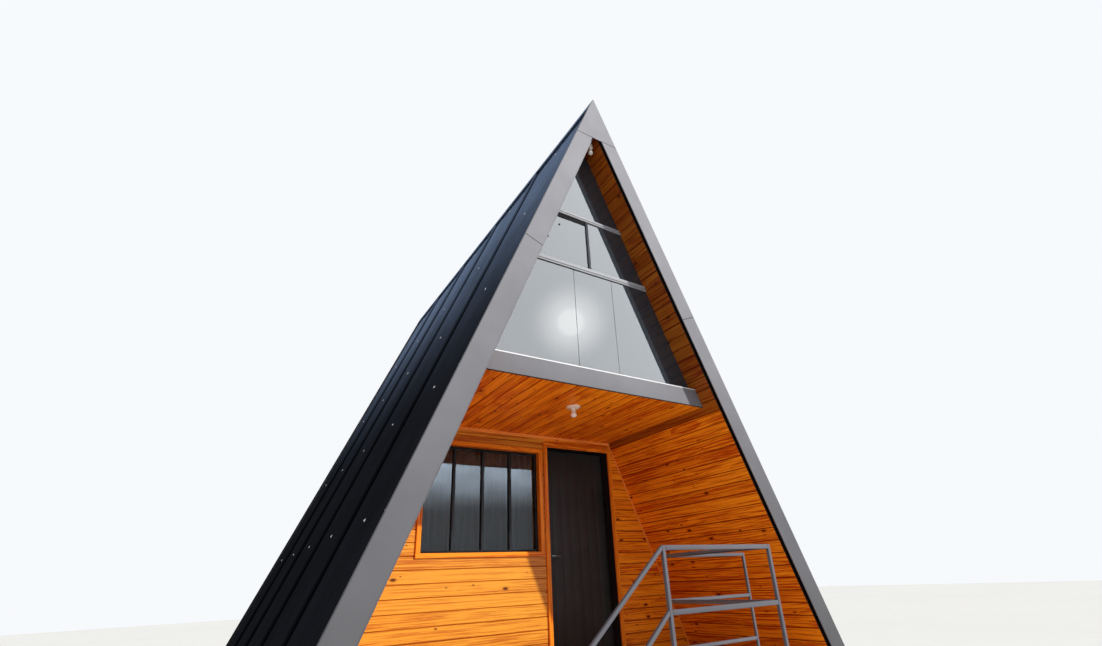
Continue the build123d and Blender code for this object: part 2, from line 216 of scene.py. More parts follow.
# wood: rings that wander along each board, fine fibre, knots and a tone of its own for every board
woodLook = {
    "drift": (0.55, 0.6, 0.6),  # cells to a metre of each noise, along the grain first
    "bow": (0.9, 0.2, 0.2),
    "wobble": (2.2, 30, 30),
    "faint": (0.7, 12, 12),
    "knots": (3.1, 6.4, 1),
    "knotSize": (0.055, 0.022),  # spread and least
    "knotRings": (((2.2, 0.8), 0.65, 0.75), ((1.1, 0.75), 0.92, 0.16)),  # reach, strength and shade
    "heart": 0.42,  # how far the heart of the log moves from board to board
    "heartDrift": (0.16, -0.29),  # and along each board, with its place at the start
    "bowHigh": 0.09,
    "bend": (5.0, 0.6),  # reach of a knot over which the rings bend round it
    "bendDeep": 0.012,
    "rings": (60, 50),  # to a metre, spread and least
    "ringPick": 7.3,  # turns a board's tone into its number of rings
    "waver": 0.9,
    "late": 0.42,
    "lateShown": (0.35, 0.95),
    "faintShown": (0.36, 0.62, 0.2, 1.0),
    "balance": (0.45, 0.10),  # taken off again, so that the mean colour stays
    "relief": (0.5, 0.6),  # of the rings and the fibre
    "bump": (0.35, 0.0006),
    "loft": (0.36, 0.30, 0.60),  # painted shade: tint of the boards whose tone is above 1
}
woodMarks = {  # cells to a metre, shift, detail and roughness, then the range that shows and its weight
    "streak": ((1.3, 70, 70), (3, 0, 0), 4, 0.75, (0.43, 0.62), 0.74),
    "fibre": ((4, 200, 200), (0, 0, 0), 3, 0.6, (0.40, 0.68), 0.20),
    "patch": ((1.1, 9, 9), (11, 0, 0), 2, 0.5, (0.42, 0.72), 0.20),
}


def makeWood(name, light, dark, knotShare=0.45, toneSpread=0.5, rough=0.40, varnish=0.22, fromBoards=True):
    look = woodLook
    material, tree, shader = newMaterial(name)
    grain = attribute(tree, "grainAt", "Vector") if fromBoards else atPoint(tree)
    across, deep = split(tree, grain)[1:3]
    drift = noise(tree, stretch(tree, grain, look["drift"]), 1, 2)
    bow = noise(tree, stretch(tree, grain, look["bow"], (7, 0, 0)), 1, 1)
    wobble = noise(tree, stretch(tree, grain, look["wobble"]), 1, 3)
    faint = noise(tree, stretch(tree, grain, look["faint"], (19, 0, 0)), 1, 3)

    cells = {"Vector": stretch(tree, grain, look["knots"]), "Scale": 1, "Randomness": 0.9}
    spots = addNode(tree, "ShaderNodeTexVoronoi", cells, voronoi_dimensions="2D")
    pick, size = addNode(tree, "ShaderNodeSeparateColor", {0: spots.outputs["Color"]}).outputs[:2]
    chosen = ranged(tree, pick, 1 - knotShare, 1.02 - knotShare)
    reach = calc(tree, "DIVIDE", spots.outputs["Distance"], timesPlus(tree, size, *look["knotSize"]))
    swirl = times(tree, ranged(tree, reach, *look["bend"]), chosen)

    tone = attribute(tree, "tone", "Fac") if fromBoards else drift
    level = calc(tree, "FLOOR", tone)
    tone = calc(tree, "FRACT", tone)
    centre = timesPlus(tree, tone, look["heart"], timesPlus(tree, drift, *look["heartDrift"]))
    side = calc(tree, "SUBTRACT", across, centre)
    height = timesPlus(tree, bow, look["bowHigh"], deep)
    radius = calc(tree, "SQRT", timesPlus(tree, side, side, times(tree, height, height)))
    radius = timesPlus(tree, swirl, look["bendDeep"], radius)
    rings = timesPlus(tree, calc(tree, "FRACT", times(tree, tone, look["ringPick"])), *look["rings"])
    ring = calc(tree, "FRACT", timesPlus(tree, radius, rings, times(tree, wobble, look["waver"])))
    late = times(tree, ranged(tree, ring, *look["lateShown"]), ranged(tree, faint, *look["faintShown"]))

    share = times(tree, late, look["late"])
    marks = {}
    for mark, (scale, shift, detail, roughness, shown, weight) in woodMarks.items():
        marks[mark] = noise(tree, stretch(tree, grain, scale, shift), 1, detail, roughness)
        share = timesPlus(tree, ranged(tree, marks[mark], *shown), weight, share)
    share = timesPlus(tree, tone, toneSpread, share)
    share = calc(tree, "SUBTRACT", share, toneSpread * look["balance"][0] + look["balance"][1])
    colour = mixColour(tree, ranged(tree, share, 0, 1), rgba(light), rgba(dark))
    for near, strength, shade in look["knotRings"]:
        mask = times(tree, ranged(tree, reach, *near), chosen)
        colour = mixColour(tree, times(tree, mask, strength), colour, shaded(dark, shade))
    # painted shade on the boards above the ceiling
    if fromBoards:
        colour = mixColour(tree, level, colour, tinted(tree, colour, rgba(look["loft"])))
    setInputs(shader, {"Base Color": colour, "Roughness": timesPlus(tree, marks["fibre"], 0.22, rough - 0.11),
                       "Specular IOR Level": varnish})
    ringRelief, fibreRelief = look["relief"]
    relief = timesPlus(tree, late, ringRelief, times(tree, marks["fibre"], fibreRelief))
    setBump(tree, shader, relief, *look["bump"])
    return material


# painted sheet: nearly even, with faint clouds, dust in runs and a slight ripple of the metal
sheetLook = {
    "cloud": (1.7, 4, 0.6),  # cells to a metre, detail and roughness of each noise
    "runs": (1, 4, 0.65),
    "runsAcross": 9,  # the runs are stretched down the sheet
    "speck": (240, 2, 0.6),
    "waves": (5, 3, 0.55),
    "cloudShown": (0.3, 0.7),
    "runsShown": (0.52, 0.8),
    "speckShown": (0.62, 0.8),
    "speckWeight": 0.18,
    "dusty": (0.6, 0.12),  # share that is left of the paint's colour, and what is added to it
    "waveDeep": 0.004,
}


def makeSheetMetal(name, base, spread=0.12, rough=0.42, dust=0.1, ripple=0.1, down=2.0, gloss=0.5, foot=1.0):
    look = sheetLook
    material, tree, shader = newMaterial(name)
    point = atPoint(tree)
    cloud = noise(tree, point, *look["cloud"])
    runs = noise(tree, stretch(tree, point, (look["runsAcross"], look["runsAcross"], down)), *look["runs"])
    speck = noise(tree, point, *look["speck"])
    darker, lighter = shaded(base, 1 - spread), shaded(base, 1 + spread)
    colour = mixColour(tree, ranged(tree, cloud, *look["cloudShown"]), darker, lighter)
    kept, added = look["dusty"]
    pale = rgba([kept * part + added for part in base])
    colour = mixColour(tree, times(tree, ranged(tree, runs, *look["runsShown"]), dust), colour, pale)
    bright = times(tree, ranged(tree, speck, *look["speckShown"]), look["speckWeight"])
    colour = mixColour(tree, bright, colour, lighter)
    if foot < 1:  # darker toward the ground
        rise = ranged(tree, split(tree, point)[2], 0.0, apexZ)
        colour = mixColour(tree, rise, tinted(tree, colour, grey(foot)), colour)
    setInputs(shader, {"Base Color": colour, "Roughness": timesPlus(tree, runs, 0.24, rough - 0.12),
                       "Specular IOR Level": gloss})
    setBump(tree, shader, noise(tree, point, *look["waves"]), ripple, look["waveDeep"])
    return material


# roof paint: painted sky reflection toward the ridge, less on the sunny side; painted shade at laps and on
# one rib side
roofPaint = {
    "low": (0.013, 0.014, 0.018),
    # the colour toward the ridge is a painted sky reflection
    "high": (0.163, 0.222, 0.345),
    "from": 2.0,
    "sunSide": (0.0, 0.5),  # how far a face turns to the right before it counts as sunny
    # share of the painted sky reflection kept on the sunny side
    "sunnySheen": 0.35,
    "cloud": (2.2, 2.2, 0.9),
    "mottle": (0.80, 1.2),
    "mottleShown": (0.35, 0.65),
    # painted shade on the side of each rib that faces the front
    "ribSideShade": 0.36,
    "ribShown": (0.4, 0.85),
    # painted shadow line along each lap
    "foot": 0.027,  # a lap's line lies this far before the place where its sheet starts
    "line": 0.004,  # about half its width
    "lineShade": 0.75,
}


def makeRoofPaint(name):
    look = roofPaint
    material, tree, shader = newMaterial(name)
    point = atPoint(tree)
    y, z = split(tree, point)[1:3]
    right, facing = split(tree, addNode(tree, "ShaderNodeTexCoord").outputs["Normal"])[:2]
    # painted sky reflection: paler toward the ridge, weaker on faces turned to the right
    rise = ranged(tree, z, look["from"], apexZ)
    rise = times(tree, times(tree, rise, rise), ranged(tree, right, *look["sunSide"], 1.0, look["sunnySheen"]))
    colour = mixColour(tree, rise, rgba(look["low"]), rgba(look["high"]))
    cloud = noise(tree, stretch(tree, point, look["cloud"]), 1, 5, 0.65)
    speck = noise(tree, point, 120, 3, 0.7)
    mottle = timesPlus(tree, speck, 0.45, times(tree, cloud, 0.55))
    shown = ranged(tree, mottle, *look["mottleShown"])
    colour = tinted(tree, colour, mixColour(tree, shown, *[grey(level) for level in look["mottle"]]))
    # painted shade: darker on the side of each rib that faces the front
    side = ranged(tree, times(tree, facing, -1), *look["ribShown"])
    colour = mixColour(tree, times(tree, side, look["ribSideShade"]), colour, grey(0.0))
    # painted shadow: a dark line along each lap
    firstLap = frontY + roofSheet["first"] - look["foot"]
    place = calc(tree, "DIVIDE", calc(tree, "SUBTRACT", y, firstLap), roofSheet["cover"])
    place = calc(tree, "SUBTRACT", calc(tree, "FRACT", calc(tree, "ADD", place, 0.5)), 0.5)
    away = times(tree, calc(tree, "ABSOLUTE", place), roofSheet["cover"])  # metres from the nearest lap
    seam = ranged(tree, away, look["line"] * 1.5, look["line"] * 0.75)
    colour = mixColour(tree, times(tree, seam, look["lineShade"]), colour, grey(0.0))
    setInputs(shader, {"Base Color": colour, "Roughness": timesPlus(tree, mottle, 0.2, 0.4),
                       "Specular IOR Level": 0.0})
    setBump(tree, shader, mottle, 0.12, 0.003)
    return material


# glass: a faint film in runs and smears, and a slight wave in the pane
glassLook = {
    "runs": (22, 22, 1.2),
    "smear": (3, 3, 1.1),
    "runsShown": (0.5, 0.85),
    "smearShown": (0.4, 0.75),
    "filmShade": 0.6,
    "wave": (1.6, 1),
    "bump": (0.05, 0.01),
}


def makeGlass(name, tint, index, rough=0.02, dirt=0.06, clear=1.0):
    look = glassLook
    material, tree, shader = newMaterial(name)
    point = atPoint(tree)
    runs = noise(tree, stretch(tree, point, look["runs"]), 1, 4, 0.6)
    smear = noise(tree, stretch(tree, point, look["smear"], (4, 0, 0)), 1, 3, 0.6)
    film = times(tree, ranged(tree, runs, *look["runsShown"]), ranged(tree, smear, *look["smearShown"]))
    colour = mixColour(tree, times(tree, film, 0.5), rgba(tint), shaded(tint, look["filmShade"]))
    setInputs(shader, {"Base Color": colour, "Roughness": timesPlus(tree, film, dirt, rough),
                       "Transmission Weight": clear, "IOR": index})
    setBump(tree, shader, noise(tree, point, *look["wave"]), *look["bump"])
    return material


# plain finishes: fine grain over broad patches
def makePlain(name, base, rough, spread=0.1, grain=60, bump=0.1, coat=0.0, metal=0.0, depth=0.0004,
              gloss=0.5):
    material, tree, shader = newMaterial(name)
    point = atPoint(tree)
    fine = noise(tree, point, grain, 4, 0.6)
    broad = noise(tree, point, grain / 18, 3)
    mixed = timesPlus(tree, fine, 0.5, times(tree, broad, 0.5))
    darker, lighter = shaded(base, 1 - spread), shaded(base, 1 + spread)
    colour = mixColour(tree, ranged(tree, mixed, 0.3, 0.7), darker, lighter)
    setInputs(shader, {"Base Color": colour, "Roughness": timesPlus(tree, fine, 0.16, rough - 0.08),
                       "Coat Weight": coat, "Specular IOR Level": gloss, "Metallic": metal})
    setBump(tree, shader, fine, bump, depth)
    return material


# cloth: crossed threads and slubs, and painted shade that darkens it toward the rod
# head: share of the cloth's colour left at the top, under the painted shade
clothLook = {"threads": 2600, "slub": (160, 6, 1), "dark": 0.8, "head": 0.12, "rough": 0.9, "sheen": 0.3,
             "bump": (0.3, 0.0003)}


def makeCloth(name, base):
    look = clothLook
    material, tree, shader = newMaterial(name)
    thread = attribute(tree, "grainAt", "Vector")
    warp, weft = [calc(tree, "SINE", times(tree, way, look["threads"])) for way in split(tree, thread)[:2]]
    weave = timesPlus(tree, times(tree, warp, weft), 0.5, 0.5)
    slub = noise(tree, stretch(tree, thread, look["slub"]), 1, 3)
    shade = timesPlus(tree, weave, 0.4, times(tree, slub, 0.6))
    # painted shade: darker toward the rod
    low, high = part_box("window_curtain")
    rise = ranged(tree, split(tree, atPoint(tree))[2], low.z, high.z)
    rodShade = mixColour(tree, times(tree, rise, rise), grey(1.0), grey(look["head"]))
    colour = tinted(tree, mixColour(tree, shade, shaded(base, look["dark"]), rgba(base)), rodShade)
    setInputs(shader, {"Base Color": colour, "Roughness": look["rough"], "Sheen Weight": look["sheen"]})
    setBump(tree, shader, weave, *look["bump"])
    return material


woods = {
    "varnished": {"light": (1.0, 0.355, 0.013), "dark": (0.50, 0.066, 0.002)},
    # a yellower copy of the varnished pine, painted with the sunlight on the window-side wall
    "wall": {"light": (0.72, 0.320, 0.030), "dark": (0.43, 0.110, 0.007)},
    "trim": {"light": (0.90, 0.300, 0.020), "dark": (0.55, 0.105, 0.006)},
    "strip": {"light": (1.0, 0.42, 0.090), "dark": (0.80, 0.22, 0.030)},
    "groove": {"light": (0.40, 0.070, 0.003), "dark": (0.20, 0.030, 0.001)},
    "wallGroove": {"light": (0.42, 0.120, 0.010), "dark": (0.22, 0.050, 0.004)},
    "deck": {"light": (0.60, 0.26, 0.08), "dark": (0.34, 0.12, 0.03)},
    "timber": {"light": (0.20, 0.125, 0.07), "dark": (0.085, 0.05, 0.028)},
    # near black: painted shade for the rafters and purlins in the gap behind the fascia
    "dark": {"light": (0.012, 0.010, 0.009), "dark": (0.005, 0.004, 0.004)},
}
bareWood = {"rough": 0.7, "varnish": 0.0, "fromBoards": False}
jointWood = {"knotShare": 0.0, "rough": 0.6, "varnish": 0.1}
materials = {
    "varnished": makeWood("varnishedPine", **woods["varnished"], knotShare=0.6),
    "wall": makeWood("wallPineSunlit", **woods["wall"], knotShare=0.35),
    "trim": makeWood("trimPine", **woods["trim"], knotShare=0.12, toneSpread=0.25, rough=0.35, varnish=0.12),
    "strip": makeWood("stripPine", **woods["strip"], knotShare=0.05, toneSpread=0.15),
    "groove": makeWood("boardJoint", **woods["groove"], **jointWood),
    "wallGroove": makeWood("wallJoint", **woods["wallGroove"], **jointWood),
    "deck": makeWood("deckBoards", **woods["deck"], knotShare=0.25, rough=0.6, varnish=0.0),
    "timber": makeWood("frameTimber", **woods["timber"], knotShare=0.25, **bareWood),
    # painted shade: near-black timber for the rafters and purlins
    "edge": makeWood("shadowBlackTimber", **woods["dark"], knotShare=0.1, **bareWood),
    "roof": makeRoofPaint("roofSheet"),
    "fascia": makeSheetMetal("fasciaSheet", (0.270, 0.272, 0.302), 0.07, 0.48, 0.06, gloss=0.05, foot=0.30),
    "bar": makeSheetMetal("paneBar", (0.29, 0.30, 0.325), 0.08, 0.4, ripple=0.05, gloss=0.25),
    "mullion": makeSheetMetal("paneMullion", (0.045, 0.049, 0.055), 0.08, 0.4, 0.05, 0.05, gloss=0.06),
    "bead": makeSheetMetal("paneBead", (0.62, 0.62, 0.64), 0.05, 0.35, 0.05, 0.02),
    "windowFrame": makeSheetMetal("windowFrame", (0.014, 0.015, 0.018), 0.2, 0.3, 0.04, 0.03, gloss=0.12),
    "tube": makeSheetMetal("guardTube", (0.115, 0.115, 0.135), ripple=0.05, gloss=0.12),
    "door": makeSheetMetal("doorLeaf", (0.027, 0.029, 0.033), 0.2, 0.5, 0.02, 0.04, down=0.4, gloss=0.2),
    "screw": makePlain("screwZinc", (0.85, 0.86, 0.88), 0.3),
    "handle": makePlain("handleSteel", (0.06, 0.06, 0.062), 0.3, 0.05, 200, 0.05, metal=0.4),
    # near black: seams and screws, and painted shade at the right lining's ends, under the beam and over the
    # slot
    "sealAndShade": makePlain("paneSealAndShade", (0.012, 0.012, 0.013), 0.5, 0.2, 300, 0.2, gloss=0.03),
    "lampBase": makePlain("lampBase", (0.80, 0.76, 0.70), 0.35, 0.04, 90, 0.05, 0.2),
    "lampBulb": makePlain("lampBulb", (0.83, 0.82, 0.80), 0.15, 0.03, 40, 0.02, 0.6),
    "concrete": makePlain("pierConcrete", (0.42, 0.41, 0.39), 0.85, 0.25, 45, 0.6, depth=0.002),
    "gableGlass": makeGlass("gableGlass", (0.042, 0.060, 0.078), 1.72, 0.034, 0.02, 0.5),
    "windowGlass": makeGlass("windowGlass", (0.60, 0.66, 0.70), 1.5, 0.01, 0.03),
    "cloth": makeCloth("curtainCloth", (0.22, 0.26, 0.29)),
}
print("materials made,", len(materials))


# small helpers for meshes
def layersOf(bm):
    return bm.verts.layers.float_vector.new("grainAt"), bm.verts.layers.float.new("tone")


def makePiece(name, bm, material, replaced=(), body="cabin", smoothAngle=None, others=()):
    bmesh.ops.recalc_face_normals(bm, faces=bm.faces)
    mesh = bpy.data.meshes.new(name)
    bm.to_mesh(mesh)
    bm.free()
    if smoothAngle is not None:
        mesh.shade_smooth()
        mesh.set_sharp_from_angle(angle=math.radians(smoothAngle))
    for finish in (material, *others):
        mesh.materials.append(materials[finish])
    piece = bpy.data.objects.new(name, mesh)
    bpy.context.scene.collection.objects.link(piece)
    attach(piece, body)
    if replaced:
        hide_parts(*replaced)
    return piece


def clipSection(points, nx, ny, limit):  # keeps the side where nx * x + ny * y is at most the limit
    kept = []
    for i, (x, y) in enumerate(points):
        px, py = points[i - 1]
        now, before = limit - nx * x - ny * y, limit - nx * px - ny * py
        if (now >= 0) != (before >= 0):
            t = before / (before - now)
            kept.append((px + t * (x - px), py + t * (y - py)))
        if now >= 0:
            kept.append((x, y))
    return kept


leastFace = 2.5  # a face that is narrower than this many cuts stays square


def boardSection(a0, a1, back, face, cut):  # the two corners of the visible face are cut back
    if abs(a1 - a0) < leastFace * cut:
        return [(a0, back), (a1, back), (a1, face), (a0, face)]
    step = math.copysign(cut, face - back)
    return [(a0, back), (a1, back), (a1, face - step), (a1 - cut, face), (a0 + cut, face), (a0, face - step)]


jointFace = 0.0095  # a slanted face shorter than this is the cut-back corner of a joint


def sweepBoard(bm, layers, section, axes, start, end, rng, darker=0.0, capFinish=0, finish=0, groove=None):
    # section: points across and out of the board; start and end: a length, or a rule of the place across
    if len(section) < 3:  # nothing of the board is left by the slope
        return
    origin, along, across, out = axes
    grainLayer, toneLayer = layers
    shift = rng.uniform(0, 400)
    tone = rng.random() + darker
    middle = sum(point[0] for point in section) / len(section)
    rows = []
    for rule in (start, end):
        row = []
        for a, o in section:
            s = rule(a) if callable(rule) else rule
            vert = bm.verts.new(origin + along * s + across * a + out * o)
            vert[grainLayer] = (s + shift, a - middle, o)
            vert[toneLayer] = tone
            row.append(vert)
        rows.append(row)
    count = len(section)
    for i in range(count):
        j = (i + 1) % count
        side = bm.faces.new((rows[0][i], rows[0][j], rows[1][j], rows[1][i]))
        run, rise = section[j][0] - section[i][0], section[j][1] - section[i][1]
        slanted = min(abs(run), abs(rise)) > 1e-4
        cutBack = groove is not None and slanted and math.hypot(run, rise) < jointFace
        side.material_index = groove if cutBack else finish
    bm.faces.new(rows[0]).material_index = capFinish
    bm.faces.new(rows[1]).material_index = capFinish


xAxis, yAxis, zAxis = Vector((1, 0, 0)), Vector((0, 1, 0)), Vector((0, 0, 1))
sceneOrigin = Vector((0, 0, 0))


# lining under both slopes, boards that run from gable to gable
lining = {"pitch": 0.112, "cut": 0.0045, "uneven": 0.0007, "joint": 0.0015, "firstJoint": 2.3,
          "lastJoint": 0.85, "loftShadeTone": 1.0}  # painted shade darkens the loft's boards, behind the glass and in front of it


def makeLining(side, name, node):
    rng = random.Random(41 if side > 0 else 43)
    bm = bmesh.new()
    layers = layersOf(bm)
    y0, y1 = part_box(node)[0].y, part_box(node)[1].y
    axes = (Vector((0, 0, apexZ)), yAxis, *slopeAxes(side))
    last = (apexZ - floorZ) * slant - liningFace * slopeRun
    rows = math.ceil((last - liningBack / slopeRun) / lining["pitch"])
    for i in range(rows):
        a1 = last - i * lining["pitch"]
        a0 = a1 - lining["pitch"]
        face = liningFace - rng.uniform(0, lining["uneven"])
        section = boardSection(a0, a1, liningBack, face, lining["cut"])
        section = clipSection(section, -slopeRun, 1, 0)
        joint = y0 + rng.uniform(lining["firstJoint"], (y1 - y0) * lining["lastJoint"])
        gap = lining["joint"] / 2
        # boards above the ceiling get the painted shade
        darker = lining["loftShadeTone"] if a1 < (apexZ - ceilingZ) * slant else 0.0
        sweepBoard(bm, layers, section, axes, y0, joint - gap, rng, darker, 1, groove=2)
        sweepBoard(bm, layers, section, axes, joint + gap, y1, rng, darker, 1, groove=2)
    # the right ends are near black, a painted shadow gap behind the fascia; the left ends take the fascia's
    # colour
    ends = "sealAndShade" if side > 0 else "fascia"
    makePiece(name, bm, "varnished", [node], others=[ends, "groove"])


# boards that lie flat between the slopes and run along the cabin
underside = {"material": "varnished", "slot": "lining_board", "gap": 0.0, "faceDown": True}
topside = {"material": "deck", "slot": "deck_board", "gap": 0.0, "faceDown": False}
flatBoards = {
    "ceiling_boards": {**underside, "piece": "ceilingBoards", "pitch": 0.112, "cut": 0.0045, "seed": 3},
    "porch_deck": {**topside, "piece": "porchDeckBoards", "pitch": 0.095, "gap": 0.005, "cut": 0.003,
                   "seed": 5},
    "room_floor": {**topside, "piece": "roomFloorBoards", "pitch": 0.140, "cut": 0.0015, "seed": 7},
    "loft_floor": {**topside, "piece": "loftFloorBoards", "pitch": 0.140, "cut": 0.0015, "seed": 9},
}
leastBoard = 0.006  # a narrower sliver at the slope is left out


def makeFlatBoards(node):
    look = flatBoards[node]
    rng = random.Random(look["seed"])
    low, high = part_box(node)
    depth = depthOf(node)
    bm = bmesh.new()
    layers = layersOf(bm)
    back, face = (high.z, low.z) if look["faceDown"] else (low.z, high.z)
    axes = (sceneOrigin, yAxis, xAxis, zAxis)
    edge = slopeRun * apexZ - depth * slant
    count = math.ceil((high.x - low.x) / look["pitch"])
    left = -count * look["pitch"] / 2
    for i in range(count):
        x0 = left + i * look["pitch"] + look["gap"] / 2
        x1 = x0 + look["pitch"] - look["gap"]
        section = boardSection(x0, x1, back, face, look["cut"])
        section = clipSection(clipSection(section, 1, slopeRun, edge), -1, slopeRun, edge)
        places = [x for x, z in section]
        if len(section) > 2 and max(places) - min(places) > leastBoard:
            sweepBoard(bm, layers, section, axes, low.y, high.y, rng, groove=1)
    joint = "groove" if look["faceDown"] else look["material"]
    makePiece(look["piece"], bm, look["material"], [node], others=[joint])


# landing: short boards across its joists
landing = {"pitch": 0.095, "gap": 0.005, "cut": 0.003}


def makeLandingBoards():
    rng = random.Random(11)
    low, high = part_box("landing_deck")
    bm = bmesh.new()
    layers = layersOf(bm)
    axes = (sceneOrigin, xAxis, yAxis, zAxis)
    count = round((high.y - low.y) / landing["pitch"])
    pitch = (high.y - low.y + landing["gap"]) / count
    for i in range(count):
        y0 = low.y + i * pitch
        section = boardSection(y0, y0 + pitch - landing["gap"], low.z, high.z, landing["cut"])
        sweepBoard(bm, layers, section, axes, low.x, high.x, rng)
    makePiece("landingBoards", bm, "deck", ["landing_deck"])


# walls of horizontal boards, full depth, with both faces cut back at every joint
wall = {"pitch": 0.1115, "firstJoint": 0.037, "leastTop": 0.02, "cut": 0.0045}


def wallSection(z0, z1, joints, back, face, cut):
    lowCut = cut if z0 in joints else 0
    highCut = cut if z1 in joints else 0
    section = [(z0 + lowCut, back), (z1 - highCut, back)]
    section += [(z1, back + highCut), (z1, face - highCut)] if highCut else []
    section += [(z1 - highCut, face), (z0 + lowCut, face)]
    section += [(z0, face - lowCut), (z0, back + lowCut)] if lowCut else []
    return section


def makeWall(node, name, leftEnd, rightEnd, opening=None, seed=0, material="varnished"):
    # leftEnd and rightEnd: a place in X, or None where the wall ends on the slope
    rng = random.Random(seed)
    low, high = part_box(node)
    bm = bmesh.new()
    layers = layersOf(bm)
    joints = []
    z = floorZ + wall["firstJoint"]
    while z < high.z - wall["leastTop"]:
        joints.append(z)
        z += wall["pitch"]
    edges = [opening[0].z, opening[1].z] if opening else []
    levels = sorted({low.z, high.z, *edges, *[joint for joint in joints if low.z < joint < high.z]})
    levels = [z for i, z in enumerate(levels) if i == 0 or z - levels[i - 1] > 1e-5]
    axes = (Vector((0, low.y, 0)), xAxis, zAxis, yAxis)
    leftRule = leftSlope if leftEnd is None else leftEnd
    rightRule = rightSlope if rightEnd is None else rightEnd
    for z0, z1 in zip(levels, levels[1:]):
        section = wallSection(z0, z1, joints, 0, high.y - low.y, wall["cut"])
        spans = [(leftRule, rightRule)]
        if opening and opening[0].z - 1e-4 < (z0 + z1) / 2 < opening[1].z + 1e-4:
            spans = [(leftRule, opening[0].x), (opening[1].x, rightRule)]
        for start, end in spans:
            sweepBoard(bm, layers, section, axes, start, end, rng, groove=1)
    makePiece(name, bm, material, [node], others=["wallGroove"])


setCamera()
print("camera set")
makeLining(1, "liningBoardsRight", "lining_right")
makeLining(-1, "liningBoardsLeft", "lining_left")
for flatNode in flatBoards:
    makeFlatBoards(flatNode)
makeLandingBoards()
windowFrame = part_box("window_frame")
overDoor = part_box("porch_wall_over_door")
# the window-side wall takes the copy of the pine that is painted with sunlight
makeWall("porch_wall_window_side", "porchBoardsWindowSide", None, overDoor[0].x, windowFrame, 21, "wall")
makeWall("porch_wall_over_door", "porchBoardsOverDoor", overDoor[0].x, overDoor[1].x, None, 22)
makeWall("porch_wall_right", "porchBoardsRight", overDoor[1].x, None, None, 23)
makeWall("rear_wall", "rearWallBoards", None, None, None, 24)
print("boards laid")


# trim: each member a board of its own with rounded corners
trim = {"cut": 0.003, "mitre": 0.0006}


def trimMember(bm, layers, x0, x1, z0, z1, back, face, rng):
    cut = trim["cut"]
    if z1 - z0 > x1 - x0:
        section = boardSection(x0, x1, back, face, cut)
        sweepBoard(bm, layers, section, (sceneOrigin, zAxis, xAxis, yAxis), z0, z1, rng)
    else:
        section = boardSection(z0, z1, back, face, cut)
        sweepBoard(bm, layers, section, (sceneOrigin, xAxis, zAxis, yAxis), x0, x1, rng)


def makeFrameTrim(name, node, wide, seed, sill):
    rng = random.Random(seed)
    low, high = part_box(node)
    bm = bmesh.new()
    layers = layersOf(bm)
    top = high.z - wide
    bottom = low.z + wide + trim["mitre"] if sill else low.z
    for x0 in (low.x, high.x - wide):
        trimMember(bm, layers, x0, x0 + wide, bottom, top - trim["mitre"], high.y, low.y, rng)
    for z0 in (low.z, top) if sill else (top,):
        trimMember(bm, layers, low.x, high.x, z0, z0 + wide, high.y, low.y, rng)
    makePiece(name, bm, "trim", [node])


# crown strip under the ceiling and the strips down both slopes
strips = {"crownHigh": 0.030, "crownGap": 0.0003}


def makeWallStrips():
    rng = random.Random(35)
    low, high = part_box("wall_trim")
    thick = high.y - low.y
    bm = bmesh.new()
    layers = layersOf(bm)
    crown = high.z - strips["crownHigh"]
    axes = (Vector((0, low.y, 0)), xAxis, zAxis, yAxis)
    section = boardSection(crown, high.z, thick, 0, trim["cut"])
    sweepBoard(bm, layers, section, axes, leftSlope, rightSlope, rng)
    section = boardSection(liningFace, liningFace + thick, thick, 0, trim["cut"])
    top = crown - strips["crownGap"]
    for side in (-1, 1):
        axes = (Vector((0, low.y, apexZ)), *slopeAxes(side), yAxis)
        sweepBoard(bm, layers, section, axes, lambda d: (apexZ - top) * slant - d * slopeRun,
                   lambda d: (apexZ - low.z) * slant - d * slopeRun, rng)
    makePiece("wallStrips", bm, "strip", ["wall_trim"])


casingWide = windowFrame[0].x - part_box("window_casing")[0].x
makeFrameTrim("windowCasing", "window_casing", casingWide, 31, sill=True)
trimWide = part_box("door_trim")[1].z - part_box("door_lintel")[0].z
makeFrameTrim("doorTrim", "door_trim", trimWide, 33, sill=False)
makeWallStrips()
print("trim fitted")


# plain pieces get their sharp edges eased: name, finish, slot and radius
eased = {
    "front_beam": ("frontBeam", "fascia", "fascia_sheet", 0.002),
    "rear_beam": ("rearBeam", "fascia", "fascia_sheet", 0.002),
    "window_frame": ("windowFrame", "windowFrame", "window_metal", 0.002),
    "door_leaf": ("doorLeaf", "door", "door_panel", 0.0012),
    "door_jambs": ("doorJambs", "windowFrame", "window_metal", 0.0015),
    "door_lintel": ("doorLintel", "windowFrame", "window_metal", 0.0015),
    "door_handle": ("doorHandle", "handle", "handle_metal", 0.0015),
    "guard_posts": ("guardPosts", "tube", "guard_tube", 0.003),
    "guard_rails": ("guardRails", "tube", "guard_tube", 0.003),
    "stair_treads": ("stairTreads", "timber", "deck_board", 0.003),
    "stair_stringers": ("stairStringers", "timber", "frame_timber", 0.003),
    "landing_legs": ("landingLegs", "timber", "frame_timber", 0.003),
    "piers": ("pierBlocks", "concrete", "pier_concrete", 0.006),
}
easing = {"weld": 1e-5, "flat": 1, "sharp": 30, "segments": 2, "smooth": 35}


